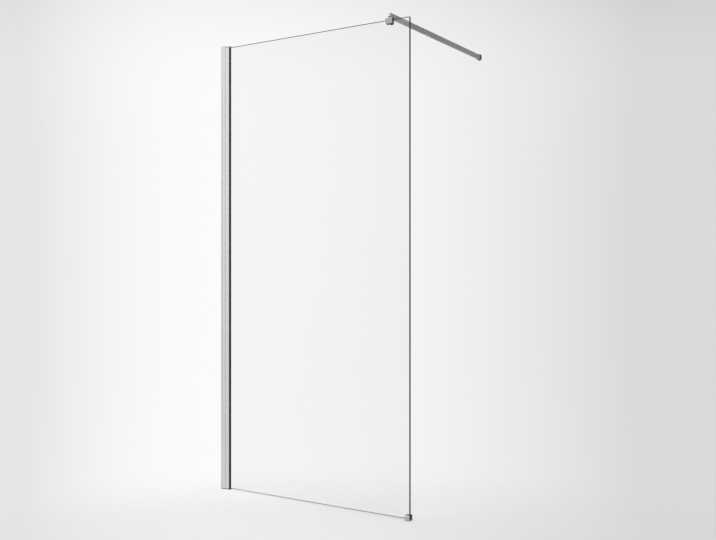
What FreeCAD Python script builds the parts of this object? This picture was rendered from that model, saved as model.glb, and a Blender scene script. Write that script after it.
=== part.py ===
# Walk-in shower screen: a glass panel in a telescoping wall profile, with a support bar and a foot.
# Millimetres, +Z up. The wall is the plane x = 0 and the floor is z = 0. The glass stands in the plane y = 0
# and runs along +X to its free edge. The support bar runs along +Y from the glass to a second wall.
import FreeCAD, Part
import os
import re

import Sketcher

SIZES = {
    # Glass panel
    "overall_width": 978,  # wall to the free edge of the glass
    "glass_height": 1990,
    "glass_thick": 10,
    "glass_arris": 0.8,  # bevel ground on every edge
    "floor_gap": 5,  # floor to the underside of the glass
    # Wall channel
    "channel_depth": 24,
    "channel_width": 20,
    "channel_wall": 1.6,
    "channel_round": 0.8,
    "groove_place": 8,  # middle of the line in each flange, from the wall
    "groove_width": 2.4,
    "groove_depth": 0.6,
    "wall_hole_radius": 2.75,
    "wall_hole_low": 160,
    "wall_hole_top": 161.5,  # highest wall hole to the channel's top
    "wall_hole_count": 4,
    # Glass profile, which telescopes in the channel
    "slide_gap": 0.4,  # clearance between the two extrusions, on each side
    "profile_wall": 1.5,
    "profile_round": 0.5,
    "tail_length": 17,  # part of the profile inside the channel
    "pocket_reach": 22,  # part of the profile outside the channel
    "travel_in": 3,  # how far the profile can go into the channel
    # Strips in the profile's pocket
    "gasket_depth": 12,
    "gasket_flange": 3.5,
    "edge_strip_thick": 2,
    # Seals and covers on the ends of the extrusions
    "base_seal_thick": 3,
    "profile_cap_thick": 6,
    "channel_cap_thick": 1.5,
    "cap_gap": 0.5,
    "cap_round": 0.6,
    "spigot_length": 10,
    "fit_gap": 0.15,  # clearance of spigots, plugs and threads
    # Screw sets that lock the telescoping extrusions
    "lock_low": 300,
    "lock_top": 301.5,  # highest screw set to the channel's top
    "lock_count": 3,
    "lock_setback": 7.5,  # screw axis to the lip of the channel
    "lock_radius": 2,
    "lock_clear": 0.5,
    "lock_head_radius": 3.5,
    "lock_head_height": 2.2,
    "lock_tip": 0.8,  # screw end past its nut plate
    "nut_plate_width": 8,
    "nut_plate_length": 20,
    "nut_plate_thick": 3,
    "cup_washer_radius": 5,
    "cup_washer_thick": 0.8,
    "screw_cap_height": 4.2,
    "screw_cap_wall": 0.8,
    # Clamp on the top edge of the glass
    "arm_setback": 87,  # bar axis to the free edge of the glass
    "grip_gap": 0.2,  # clearance between glass and liners
    "liner_thick": 1.5,
    "liner_show": 1.2,  # liners below the clamp's front jaw and above the foot
    "liner_inset": 0.1,  # front leg of the clamp's liner inside the outline of the jaw
    "jaw_width": 31,
    "jaw_thick": 13.6,
    "jaw_rise": 4.6,  # plate of the front jaw, before the bar's end
    "jaw_drop": 18.8,  # both jaws below the top of the glass
    "jaw_round": 0.6,
    "buffer_width": 11,
    "buffer_thick": 1.5,
    "buffer_height": 9.4,
    "rear_jaw_width": 12,
    "rear_jaw_thick": 7,
    "front_screw_inset": 3.5,  # front screw before the back of the front jaw
    "jaw_screw_radius": 1.5,
    "jaw_screw_bite": 6,
    "jaw_head_radius": 2.5,
    "jaw_head_height": 2.5,
    "jaw_head_sink": 0.3,  # screw heads above the undersides of the jaws
    # Support bar
    "arm_reach": 839,  # glass to the second wall
    "bar_width": 8,
    "bar_height": 23.4,
    "bar_wall": 1.2,
    "bar_round": 1,
    "bar_rise": 2,  # underside of the bar above the glass
    "bar_overhang": 5.8,  # near end of the bar before the back of the front jaw
    "bar_gap": 0.2,
    "plug_head": 0.5,
    "plug_depth": 3.5,  # plug past the rear screw
    "plug_round": 0.4,
    # Wall bracket at the far end of the bar
    "bracket_side": 3.4,
    "bracket_wall": 1,
    "bracket_floor": 1,
    "bracket_base": 6,
    "bracket_sleeve": 16,
    "bracket_end_gap": 4,  # end of the bar to the bracket's base
    "bracket_round": 1,
    "bracket_hole_radius": 2.1,
    "bracket_hole_pitch": 12,
    "bracket_lock_radius": 2,
    "bracket_lock_inset": 5,
    "seal_thick": 1,
    # Foot under the free corner of the glass
    "foot_length": 20,
    "foot_width": 28,
    "foot_height": 21,
    "foot_overhang": 2.8,  # foot past the free edge of the glass
    "foot_round": 1,
    "foot_pad_thick": 1,
    "foot_pad_inset": 0.5,
    "foot_hole_radius": 2.1,
    "foot_hole_pitch": 10,
    "foot_lock_radius": 2,
    "foot_lock_rise": 12,
    "foot_lock_length": 6,
    # Screw recesses
    "countersink": 1.2,
    "key_radius": 1.15,  # hexagon socket, centre to corner
    "key_depth": 1.5,
}

# Places that several pieces share, as formulas of the sizes above
GLASS_TOP = "(floor_gap + glass_height)"
GLASS_START = "(channel_depth + profile_wall + edge_strip_thick)"
CHANNEL_TOP = f"({GLASS_TOP} + profile_cap_thick + cap_gap)"
WALL_HOLE_PITCH = f"(({CHANNEL_TOP} - wall_hole_low - wall_hole_top) / (wall_hole_count - 1))"
LOCK_PITCH = f"(({CHANNEL_TOP} - lock_low - lock_top) / (lock_count - 1))"
PROFILE_TAIL = "(channel_depth - tail_length)"
PROFILE_MOUTH = "(channel_depth + pocket_reach)"
PROFILE_HALF = "(channel_width / 2 - channel_wall - slide_gap)"
POCKET_HALF = f"({PROFILE_HALF} - profile_wall)"
POCKET_FLOOR = "(channel_depth + profile_wall)"
LOCK_X = "(channel_depth - lock_setback)"
ARM_X = "(overall_width - arm_setback)"
GRIP_HALF = "(glass_thick / 2 + grip_gap)"
SEAT_HALF = f"({GRIP_HALF} + liner_thick)"
REAR_FACE = f"({SEAT_HALF} + rear_jaw_thick)"
REAR_MIDDLE = f"({SEAT_HALF} + rear_jaw_thick / 2)"
SLOT_HALF = "(bar_width / 2 + bar_gap)"
LINER_FOOT = "(0 - jaw_drop - liner_show)"
FRONT_MIDDLE = f"(0 - {SEAT_HALF} - front_screw_inset)"
JAW_FRONT = f"(0 - {SEAT_HALF} - jaw_thick)"
BAR_START = f"(0 - {SEAT_HALF} - bar_overhang)"
BUFFER_FRONT = f"({BAR_START} - plug_head - buffer_thick)"
JAW_SCREW_SEAT = "(jaw_head_height + jaw_head_sink - jaw_drop)"
JAW_BORE = "(jaw_screw_radius + fit_gap)"
BRACKET_FRONT = "(arm_reach - seal_thick - bracket_base - bracket_sleeve)"
BRACKET_HALF = f"({SLOT_HALF} + bracket_side)"
BRACKET_TOP = "(bar_height + bar_gap + bracket_wall)"
BRACKET_BOTTOM = "(bar_gap + bracket_floor)"
BAR_END = "(arm_reach - seal_thick - bracket_base - bracket_end_gap)"
FOOT_START = "(overall_width + foot_overhang - foot_length)"
FOOT_SLOT_FLOOR = "(floor_gap - grip_gap - liner_thick)"
AT_CLAMP = (ARM_X, "0", GLASS_TOP)
AT_BAR = (ARM_X, BAR_START, f"{GLASS_TOP} + bar_rise")

# Which way a sketch's normal points along its own axis, by plane
NORMAL = {"XY": 1, "XZ": -1, "YZ": 1}
X_AXIS, Y_AXIS, Z_AXIS = range(3)
ALONG = (FreeCAD.Vector(1, 0, 0), FreeCAD.Vector(0, 1, 0), FreeCAD.Vector(0, 0, 1))
EDGE_TOLERANCE = 1e-6
HEXAGON = 6

doc = FreeCAD.newDocument("ShowerScreen")
sheet = doc.addObject("Spreadsheet::Sheet", "Sizes")
for row, (alias, size) in enumerate(SIZES.items(), start=1):
    sheet.set(f"A{row}", alias)
    sheet.set(f"B{row}", str(size))
    sheet.setAlias(f"B{row}", alias)
doc.recompute()

nodes = []


def tied(text):
    """Write a formula of sizes as an expression on the sheet's cells."""
    return re.sub(r"[a-z][a-z_]+", lambda alias: f"Sizes.{alias.group()}", text)


def value(text):
    """Work out a formula of sizes."""
    return float(sheet.evalExpression(tied(text)))


def place(item, at):
    """Tie an object's position to the sheet."""
    for axis, text in zip("xyz", at):
        item.setExpression(f"Placement.Base.{axis}", tied(text))


def keep(item, node):
    """Name an object as a finished piece."""
    item.Label = node
    nodes.append(item)
    return item


def new_body(node, at=("0", "0", "0")):
    """Start a piece that is made of sketches and features."""
    body = doc.addObject("PartDesign::Body", node)
    place(body, at)
    return keep(body, node)


def new_sketch(body, plane, level="0"):
    """Add an empty sketch on one of the body's planes, moved along the plane's axis to a level."""
    sketch = body.newObject("Sketcher::SketchObject", f"{plane}_sketch")
    support = next(item for item in body.Origin.OriginFeatures if item.Role == f"{plane}_Plane")
    sketch.AttachmentSupport = [(support, "")]
    sketch.MapMode = "FlatFace"
    sketch.setExpression("AttachmentOffset.Base.z", tied(f"{NORMAL[plane]} * ({level})"))
    return sketch


def pin(sketch, geometry, point, spot):
    """Tie a point of a sketch to the sheet, measured from the sketch's origin."""
    for kind, axis, text in (("DistanceX", -2, spot[0]), ("DistanceY", -1, spot[1])):
        if text == "0":
            sketch.addConstraint(Sketcher.Constraint("PointOnObject", geometry, point, axis))
            continue
        index = sketch.addConstraint(Sketcher.Constraint(kind, -1, 1, geometry, point, value(text)))
        sketch.setExpression(f"Constraints[{index}]", tied(text))


def add_outline(sketch, corners):
    """Draw a closed outline of straight lines."""
    first = sketch.GeometryCount
    spots = [FreeCAD.Vector(value(x), value(y), 0) for x, y in corners]
    for start, end in zip(spots, spots[1:] + spots[:1]):
        sketch.addGeometry(Part.LineSegment(start, end))
    for index, corner in enumerate(corners):
        following = first + (index + 1) % len(corners)
        sketch.addConstraint(Sketcher.Constraint("Coincident", first + index, 2, following, 1))
        pin(sketch, first + index, 1, corner)


def add_rectangle(sketch, low, high):
    """Draw a rectangle between two corners."""
    add_outline(sketch, [low, (high[0], low[1]), high, (low[0], high[1])])


def add_circle(sketch, centre, radius):
    """Draw a circle."""
    middle = FreeCAD.Vector(value(centre[0]), value(centre[1]), 0)
    index = sketch.addGeometry(Part.Circle(middle, ALONG[Z_AXIS], value(radius)))
    pin(sketch, index, 3, centre)
    size = sketch.addConstraint(Sketcher.Constraint("Radius", index, value(radius)))
    sketch.setExpression(f"Constraints[{size}]", tied(radius))


def add_pair(sketch, middle, apart, radius, along=0):
    """Draw two equal circles, apart from each other along the sketch's first or second axis."""
    for side in ("-", "+"):
        centre = list(middle)
        centre[along] = f"{middle[along]} {side} {apart} / 2"
        add_circle(sketch, centre, radius)


def pad(body, sketch, length, way=1):
    """Grow a sketch along its axis, towards plus or minus."""
    feature = body.newObject("PartDesign::Pad", "Pad")
    feature.Profile = sketch
    feature.setExpression("Length", tied(length))
    feature.Reversed = way != NORMAL[sketch.Name[:2]]
    doc.recompute()
    return feature


def pocket(body, sketch, way, depth=None):
    """Cut a sketch along its axis, towards plus or minus, to a depth or right through."""
    feature = body.newObject("PartDesign::Pocket", "Pocket")
    feature.Profile = sketch
    feature.Reversed = way == NORMAL[sketch.Name[:2]]
    if depth is None:
        feature.Type = "ThroughAll"
    else:
        feature.setExpression("Length", tied(depth))
    doc.recompute()
    return feature


def repeat_up(body, feature, pitch, count):
    """Repeat a cut at equal steps along the second axis of its sketch."""
    pattern = body.newObject("PartDesign::LinearPattern", "Pattern")
    pattern.Originals = [feature]
    pattern.Direction = (feature.Profile[0], ["V_Axis"])
    pattern.setExpression("Length", tied(f"{pitch} * ({count} - 1)"))
    pattern.setExpression("Occurrences", tied(count))
    body.Tip = pattern
    doc.recompute()


def all_edges(shape):
    """Name every edge of a shape."""
    return [f"Edge{index}" for index in range(1, len(shape.Edges) + 1)]


def corner_edges(shape, axis):
    """Name the straight edges along an axis that lie at the corners of the shape's box."""
    box = shape.BoundBox
    limits = ((box.XMin, box.XMax), (box.YMin, box.YMax), (box.ZMin, box.ZMax))
    across = [other for other in (X_AXIS, Y_AXIS, Z_AXIS) if other != axis]
    names = []
    for index, edge in enumerate(shape.Edges, start=1):
        ends = [vertex.Point for vertex in edge.Vertexes]
        at_corner = all(
            any(all(abs(end[other] - limit) < EDGE_TOLERANCE for end in ends) for limit in limits[other])
            for other in across
        )
        if at_corner:
            names.append(f"Edge{index}")
    return names


def top_edges(shape):
    """Name the edges that lie in the top of a shape."""
    names = []
    for index, edge in enumerate(shape.Edges, start=1):
        if edge.BoundBox.ZMin > shape.BoundBox.ZMax - EDGE_TOLERANCE:
            names.append(f"Edge{index}")
    return names


def rim_edges(shape, axis, level):
    """Name the round edges that lie in a plane square to an axis."""
    names = []
    for index, edge in enumerate(shape.Edges, start=1):
        is_circle = isinstance(edge.Curve, Part.Circle)
        if is_circle and abs(edge.Curve.Center[axis] - level) < EDGE_TOLERANCE:
            names.append(f"Edge{index}")
    return names


def fillet(body, names, radius):
    """Round some edges of a body."""
    base = body.Tip
    feature = body.newObject("PartDesign::Fillet", "Fillet")
    feature.Base = (base, names)
    feature.setExpression("Radius", tied(radius))
    doc.recompute()


def chamfer(body, names, size):
    """Bevel some edges of a body."""
    base = body.Tip
    feature = body.newObject("PartDesign::Chamfer", "Chamfer")
    feature.Base = (base, names)
    feature.setExpression("Size", tied(size))
    doc.recompute()


def turned(kind, at, axis, way, **sizes):
    """Add a primitive that stands along an axis, towards plus or minus, with its sizes tied."""
    item = doc.addObject(f"Part::{kind}", kind)
    rotation = FreeCAD.Rotation(ALONG[Z_AXIS], ALONG[axis] * way)
    item.Placement = FreeCAD.Placement(FreeCAD.Vector(), rotation)
    place(item, at)
    for name, text in sizes.items():
        item.setExpression(name, tied(text))
    return item


def box(at, length, width, height):
    """Add a block with its lowest corner at a point."""
    return turned("Box", at, Z_AXIS, 1, Length=length, Width=width, Height=height)


def combine(kind, base, tool):
    """Cut one shape from another, or fuse the two."""
    item = doc.addObject(f"Part::{kind}", kind)
    item.Base = base
    item.Tool = tool
    return item


def shifted(at, axis, way, distance):
    """Move a point along an axis."""
    spot = list(at)
    spot[axis] = f"{at[axis]} + {way} * ({distance})"
    return spot


def with_socket(solid, end, axis, way, key):
    """Cut a hexagon socket into the end of a screw."""
    start = shifted(end, axis, -way, "key_depth")
    socket = turned("Prism", start, axis, way, Circumradius=key, Height="key_depth")
    socket.Polygon = HEXAGON
    return combine("Cut", solid, socket)


def headed_screw(seat, axis, way, radius, length, head_radius, head_height, key):
    """Make a socket-head screw. Its head rises from the seat towards way and its shank goes back from it."""
    shank = turned("Cylinder", seat, axis, -way, Radius=radius, Height=length)
    head = turned("Cylinder", seat, axis, way, Radius=head_radius, Height=head_height)
    end = shifted(seat, axis, way, head_height)
    return with_socket(combine("Fuse", shank, head), end, axis, way, key)


def set_screw(point, axis, way, radius, length, key):
    """Make a headless screw. It starts at its point and its socket is at the other end."""
    shank = turned("Cylinder", point, axis, way, Radius=radius, Height=length)
    return with_socket(shank, shifted(point, axis, way, length), axis, way, key)


def group(node, solids):
    """Keep like pieces together as separate solids of one node."""
    item = doc.addObject("Part::Compound", node)
    item.Links = solids
    return keep(item, node)


def lock_heights():
    """List the heights of the screw sets that lock the telescoping extrusions."""
    return [f"(lock_low + {index} * {LOCK_PITCH})" for index in range(SIZES["lock_count"])]


def build_wall_channel():
    """Outer U extrusion, with a line in each flange, wall holes in its web and lock holes at the rear."""
    body = new_body("wall_channel")
    half, inner = "channel_width / 2", "(channel_width / 2 - channel_wall)"
    groove = ("groove_place - groove_width / 2", "groove_place", "groove_place + groove_width / 2")
    section = new_sketch(body, "XY", "base_seal_thick")
    add_outline(section, [
        ("0", f"-{half}"),
        (groove[0], f"-{half}"),
        (groove[1], f"-({half} - groove_depth)"),
        (groove[2], f"-{half}"),
        ("channel_depth", f"-{half}"),
        ("channel_depth", f"-{inner}"),
        ("channel_wall", f"-{inner}"),
        ("channel_wall", inner),
        ("channel_depth", inner),
        ("channel_depth", half),
        (groove[2], half),
        (groove[1], f"({half} - groove_depth)"),
        (groove[0], half),
        ("0", half),
    ])
    extrusion = pad(body, section, f"{CHANNEL_TOP} - base_seal_thick")
    fillet(body, corner_edges(extrusion.Shape, Z_AXIS), "channel_round")
    wall_hole = new_sketch(body, "YZ")
    add_circle(wall_hole, ("0", "wall_hole_low"), "wall_hole_radius")
    repeat_up(body, pocket(body, wall_hole, 1), WALL_HOLE_PITCH, "wall_hole_count")
    lock_hole = new_sketch(body, "XZ")
    add_circle(lock_hole, (LOCK_X, "lock_low"), "(lock_radius + fit_gap)")
    repeat_up(body, pocket(body, lock_hole, 1), LOCK_PITCH, "lock_count")


def build_channel_cap():
    """Cover on the channel's top, with a spigot beside the web that clears the profile's tail."""
    body = new_body("channel_cap", ("0", "0", CHANNEL_TOP))
    cover = new_sketch(body, "XY")
    add_rectangle(cover, ("0", "-channel_width / 2"), ("channel_depth", "channel_width / 2"))
    plate = pad(body, cover, "channel_cap_thick")
    fillet(body, corner_edges(plate.Shape, Z_AXIS), "channel_round")
    fillet(body, top_edges(body.Tip.Shape), "cap_round")
    spigot = new_sketch(body, "XY")
    reach = "(channel_width / 2 - channel_wall - fit_gap)"
    low = ("channel_wall + fit_gap", f"-{reach}")
    high = (f"{PROFILE_TAIL} - travel_in - slide_gap", reach)
    add_rectangle(spigot, low, high)
    pad(body, spigot, "spigot_length", -1)


def build_base_seal(node, start, end, half):
    """Thin seal between the foot of an extrusion and the floor."""
    body = new_body(node)
    outline = new_sketch(body, "XY")
    add_rectangle(outline, (start, f"-{half}"), (end, half))
    sheet_seal = pad(body, outline, "base_seal_thick")
    fillet(body, corner_edges(sheet_seal.Shape, Z_AXIS), "profile_round")


def build_glass_profile():
    """Inner H extrusion: a tail in the channel, a pocket for the glass, and slots for the lock screws."""
    body = new_body("glass_profile")
    section = new_sketch(body, "XY", "base_seal_thick")
    add_outline(section, [
        (PROFILE_TAIL, f"-{PROFILE_HALF}"),
        (PROFILE_MOUTH, f"-{PROFILE_HALF}"),
        (PROFILE_MOUTH, f"-{POCKET_HALF}"),
        (POCKET_FLOOR, f"-{POCKET_HALF}"),
        (POCKET_FLOOR, POCKET_HALF),
        (PROFILE_MOUTH, POCKET_HALF),
        (PROFILE_MOUTH, PROFILE_HALF),
        (PROFILE_TAIL, PROFILE_HALF),
        (PROFILE_TAIL, POCKET_HALF),
        ("channel_depth", POCKET_HALF),
        ("channel_depth", f"-{POCKET_HALF}"),
        (PROFILE_TAIL, f"-{POCKET_HALF}"),
    ])
    extrusion = pad(body, section, f"{GLASS_TOP} - base_seal_thick")
    fillet(body, corner_edges(extrusion.Shape, Z_AXIS), "profile_round")
    slot = new_sketch(body, "XZ")
    room = "(lock_radius + lock_clear)"
    add_rectangle(slot, ("0", f"lock_low - {room}"), (f"{LOCK_X} + travel_in + {room}", f"lock_low + {room}"))
    repeat_up(body, pocket(body, slot, 1), LOCK_PITCH, "lock_count")


def build_profile_cap():
    """Cover on the profile's top, over the glass edge, with a spigot in the tail."""
    body = new_body("profile_cap", ("0", "0", GLASS_TOP))
    cover = new_sketch(body, "XY")
    low = (PROFILE_TAIL, f"-{PROFILE_HALF}")
    high = (f"{PROFILE_MOUTH} + gasket_flange", PROFILE_HALF)
    add_rectangle(cover, low, high)
    plate = pad(body, cover, "profile_cap_thick")
    fillet(body, corner_edges(plate.Shape, Z_AXIS), "profile_round")
    fillet(body, top_edges(body.Tip.Shape), "cap_round")
    spigot = new_sketch(body, "XY")
    reach = f"({POCKET_HALF} - fit_gap)"
    add_rectangle(spigot, (f"{PROFILE_TAIL} + fit_gap", f"-{reach}"), ("channel_depth - fit_gap", reach))
    pad(body, spigot, "spigot_length", -1)


def build_glass_panel():
    """Clear sheet with ground edges."""
    body = new_body("glass_panel", ("0", "0", "floor_gap"))
    section = new_sketch(body, "XY")
    add_rectangle(section, (GLASS_START, "-glass_thick / 2"), ("overall_width", "glass_thick / 2"))
    sheet_of_glass = pad(body, section, "glass_height")
    chamfer(body, all_edges(sheet_of_glass.Shape), "glass_arris")


def build_gasket(node, side):
    """Strip between the glass and one wall of the pocket, with a flange over the end of that wall."""
    body = new_body(node)
    section = new_sketch(body, "XY", "base_seal_thick")
    start = f"{PROFILE_MOUTH} - gasket_depth"
    end = f"{PROFILE_MOUTH} + gasket_flange"
    add_outline(section, [
        (start, f"{side} * {POCKET_HALF}"),
        (PROFILE_MOUTH, f"{side} * {POCKET_HALF}"),
        (PROFILE_MOUTH, f"{side} * {PROFILE_HALF}"),
        (end, f"{side} * {PROFILE_HALF}"),
        (end, f"{side} * glass_thick / 2"),
        (start, f"{side} * glass_thick / 2"),
    ])
    pad(body, section, f"{GLASS_TOP} - base_seal_thick")


def build_edge_strip():
    """Strip between the glass edge and the bottom of the pocket."""
    body = new_body("edge_strip", ("0", "0", "floor_gap"))
    section = new_sketch(body, "XY")
    add_rectangle(section, (POCKET_FLOOR, "-glass_thick / 2"), (GLASS_START, "glass_thick / 2"))
    pad(body, section, "glass_height")


def build_setting_block():
    """Block in the foot of the pocket that carries the wall end of the glass."""
    body = new_body("setting_block")
    section = new_sketch(body, "XY", "base_seal_thick")
    add_rectangle(section, (POCKET_FLOOR, "-glass_thick / 2"), (PROFILE_MOUTH, "glass_thick / 2"))
    pad(body, section, "floor_gap - base_seal_thick")


def build_lock_sets():
    """Screws, nut plates, cup washers and snap caps that lock the telescoping extrusions."""
    face = "channel_width / 2"
    plate_face = f"({POCKET_HALF} - grip_gap)"
    head_seat = f"({face} + cup_washer_thick)"
    screw_length = f"{head_seat} - {plate_face} + nut_plate_thick + lock_tip"
    bore = "(lock_radius + fit_gap)"
    cap_bore = "(cup_washer_radius + fit_gap)"
    cap_radius = f"({cap_bore} + screw_cap_wall)"
    screws, plates, washers, caps = [], [], [], []
    for height in lock_heights():
        seat = (LOCK_X, head_seat, height)
        screws.append(headed_screw(
            seat, Y_AXIS, 1, "lock_radius", screw_length,
            "lock_head_radius", "lock_head_height", "key_radius",
        ))
        corner = (
            f"{LOCK_X} - nut_plate_width / 2",
            f"{plate_face} - nut_plate_thick",
            f"{height} - nut_plate_length / 2",
        )
        plate = box(corner, "nut_plate_width", "nut_plate_thick", "nut_plate_length")
        inside = (LOCK_X, corner[1], height)
        thread = turned("Cylinder", inside, Y_AXIS, 1, Radius=bore, Height="nut_plate_thick")
        plates.append(combine("Cut", plate, thread))
        rear = (LOCK_X, face, height)
        disc = turned("Cylinder", rear, Y_AXIS, 1, Radius="cup_washer_radius", Height="cup_washer_thick")
        eye = turned("Cylinder", rear, Y_AXIS, 1, Radius=bore, Height="cup_washer_thick")
        washers.append(combine("Cut", disc, eye))
        dome = turned("Cylinder", rear, Y_AXIS, 1, Radius=cap_radius, Height="screw_cap_height")
        hollow = turned(
            "Cylinder", rear, Y_AXIS, 1, Radius=cap_bore, Height="screw_cap_height - screw_cap_wall"
        )
        caps.append(combine("Cut", dome, hollow))
    group("lock_screws", screws)
    group("lock_nut_plates", plates)
    group("lock_cup_washers", washers)
    group("lock_screw_caps", caps)


def cut_screw_hole(body, middle):
    """Cut a screw hole up through a jaw to the bar, with a recess for the head."""
    hole = new_sketch(body, "XY", "bar_rise")
    add_circle(hole, ("0", middle), JAW_BORE)
    pocket(body, hole, -1)
    recess = new_sketch(body, "XY", JAW_SCREW_SEAT)
    add_circle(recess, ("0", middle), "(jaw_head_radius + fit_gap)")
    pocket(body, recess, -1)


def build_clamp_front_jaw():
    """Block on the front of the glass, with a shelf under the bar and a plate before the bar's end."""
    body = new_body("clamp_front_jaw", AT_CLAMP)
    section = new_sketch(body, "YZ", "-jaw_width / 2")
    add_outline(section, [
        (JAW_FRONT, "-jaw_drop"),
        (f"-{SEAT_HALF}", "-jaw_drop"),
        (f"-{SEAT_HALF}", "bar_rise"),
        (BUFFER_FRONT, "bar_rise"),
        (BUFFER_FRONT, "jaw_rise"),
        (JAW_FRONT, "jaw_rise"),
    ])
    block = pad(body, section, "jaw_width")
    edges = []
    for axis in (X_AXIS, Y_AXIS, Z_AXIS):
        edges += corner_edges(block.Shape, axis)
    fillet(body, edges, "jaw_round")
    cut_screw_hole(body, FRONT_MIDDLE)


def build_clamp_rear_jaw():
    """Block on the back of the glass, under the bar."""
    body = new_body("clamp_rear_jaw", AT_CLAMP)
    section = new_sketch(body, "YZ", "-rear_jaw_width / 2")
    add_rectangle(section, (SEAT_HALF, "-jaw_drop"), (REAR_FACE, "bar_rise"))
    block = pad(body, section, "rear_jaw_width")
    fillet(body, corner_edges(block.Shape, Z_AXIS), "jaw_round")
    cut_screw_hole(body, REAR_MIDDLE)


def build_clamp_liner():
    """Soft U over the top edge of the glass, under the bar, with a wide leg behind the front jaw."""
    body = new_body("clamp_liner", AT_CLAMP)
    section = new_sketch(body, "YZ", "-rear_jaw_width / 2")
    add_outline(section, [
        (f"-{SEAT_HALF}", LINER_FOOT),
        (f"-{GRIP_HALF}", LINER_FOOT),
        (f"-{GRIP_HALF}", "grip_gap"),
        (GRIP_HALF, "grip_gap"),
        (GRIP_HALF, LINER_FOOT),
        (SEAT_HALF, LINER_FOOT),
        (SEAT_HALF, "bar_rise"),
        (f"-{SEAT_HALF}", "bar_rise"),
    ])
    pad(body, section, "rear_jaw_width")
    leg = new_sketch(body, "YZ", "liner_inset - jaw_width / 2")
    add_rectangle(leg, (f"-{SEAT_HALF}", LINER_FOOT), (f"-{GRIP_HALF}", "bar_rise"))
    pad(body, leg, "jaw_width - 2 * liner_inset")


def build_jaw_screw(node, middle):
    """Screw from below that holds a jaw to the bar and the plug in it."""
    length = f"bar_rise + bar_wall + jaw_screw_bite - {JAW_SCREW_SEAT}"
    seat = (ARM_X, middle, f"{GLASS_TOP} + {JAW_SCREW_SEAT}")
    screw = headed_screw(
        seat, Z_AXIS, -1, "jaw_screw_radius", length,
        "jaw_head_radius", "jaw_head_height", "key_radius",
    )
    keep(screw, node)


def build_bar_buffer():
    """Soft pad between the front jaw's plate and the bar's end."""
    body = new_body("bar_buffer", AT_CLAMP)
    face = new_sketch(body, "XZ", BUFFER_FRONT)
    add_rectangle(face, ("-buffer_width / 2", "bar_rise"), ("buffer_width / 2", "bar_rise + buffer_height"))
    block = pad(body, face, "buffer_thick")
    fillet(body, corner_edges(block.Shape, Y_AXIS), "jaw_round")


def build_support_bar():
    """Rectangular tube from the clamp into the wall bracket, with two holes for the jaws' screws."""
    body = new_body("support_bar", AT_BAR)
    section = new_sketch(body, "XZ")
    add_rectangle(section, ("-bar_width / 2", "0"), ("bar_width / 2", "bar_height"))
    inner = "(bar_width / 2 - bar_wall)"
    add_rectangle(section, (f"-{inner}", "bar_wall"), (inner, "bar_height - bar_wall"))
    tube = pad(body, section, f"{BAR_END} - {BAR_START}")
    fillet(body, corner_edges(tube.Shape, Y_AXIS), "bar_round")
    holes = new_sketch(body, "XY")
    for middle in (FRONT_MIDDLE, REAR_MIDDLE):
        add_circle(holes, ("0", f"({middle} - {BAR_START})"), JAW_BORE)
    pocket(body, holes, 1, "2 * bar_wall")


def build_bar_end_plug():
    """Plug in the near end of the bar, which the clamp's screws bite into."""
    body = new_body("bar_end_plug", AT_BAR)
    face = new_sketch(body, "XZ")
    add_rectangle(face, ("-bar_width / 2", "0"), ("bar_width / 2", "bar_height"))
    head = pad(body, face, "plug_head", -1)
    fillet(body, corner_edges(head.Shape, Y_AXIS), "plug_round")
    spigot = new_sketch(body, "XZ")
    wall = "(bar_wall + fit_gap)"
    inner = f"(bar_width / 2 - {wall})"
    add_rectangle(spigot, (f"-{inner}", wall), (inner, f"bar_height - {wall}"))
    pad(body, spigot, f"{REAR_MIDDLE} - {BAR_START} + plug_depth", 1)
    holes = new_sketch(body, "XY", wall)
    for middle in (FRONT_MIDDLE, REAR_MIDDLE):
        add_circle(holes, ("0", f"({middle} - {BAR_START})"), JAW_BORE)
    pocket(body, holes, 1, "jaw_screw_bite")


def bracket_outline(body, level="0"):
    """Draw the outside of the wall bracket, round the bar."""
    sketch = new_sketch(body, "XZ", level)
    add_rectangle(sketch, (f"-{BRACKET_HALF}", f"-{BRACKET_BOTTOM}"), (BRACKET_HALF, BRACKET_TOP))
    return sketch


def build_wall_bracket():
    """Sleeve for the bar's far end on a base with two screw holes."""
    body = new_body("wall_bracket", (ARM_X, BRACKET_FRONT, AT_BAR[2]))
    block = pad(body, bracket_outline(body), "bracket_sleeve + bracket_base")
    fillet(body, corner_edges(block.Shape, Y_AXIS), "bracket_round")
    mouth = new_sketch(body, "XZ")
    add_rectangle(mouth, (f"-{SLOT_HALF}", "-bar_gap"), (SLOT_HALF, "bar_height + bar_gap"))
    pocket(body, mouth, 1, "bracket_sleeve")
    holes = new_sketch(body, "XZ")
    add_pair(holes, ("0", "bar_height / 2"), "bracket_hole_pitch", "bracket_hole_radius", along=1)
    drilled = pocket(body, holes, 1)
    chamfer(body, rim_edges(drilled.Shape, Y_AXIS, value("bracket_sleeve")), "countersink")
    lock_hole = new_sketch(body, "YZ")
    add_circle(lock_hole, ("bracket_lock_inset", "bar_height / 2"), "(bracket_lock_radius + fit_gap)")
    pocket(body, lock_hole, -1)


def build_bracket_seal():
    """Thin seal between the bracket and the wall, with two clear holes."""
    body = new_body("bracket_seal", (ARM_X, "arm_reach - seal_thick", AT_BAR[2]))
    sheet_seal = pad(body, bracket_outline(body), "seal_thick")
    fillet(body, corner_edges(sheet_seal.Shape, Y_AXIS), "bracket_round")
    holes = new_sketch(body, "XZ")
    wide = "(bracket_hole_radius + lock_clear)"
    add_pair(holes, ("0", "bar_height / 2"), "bracket_hole_pitch", wide, along=1)
    pocket(body, holes, 1)


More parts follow.
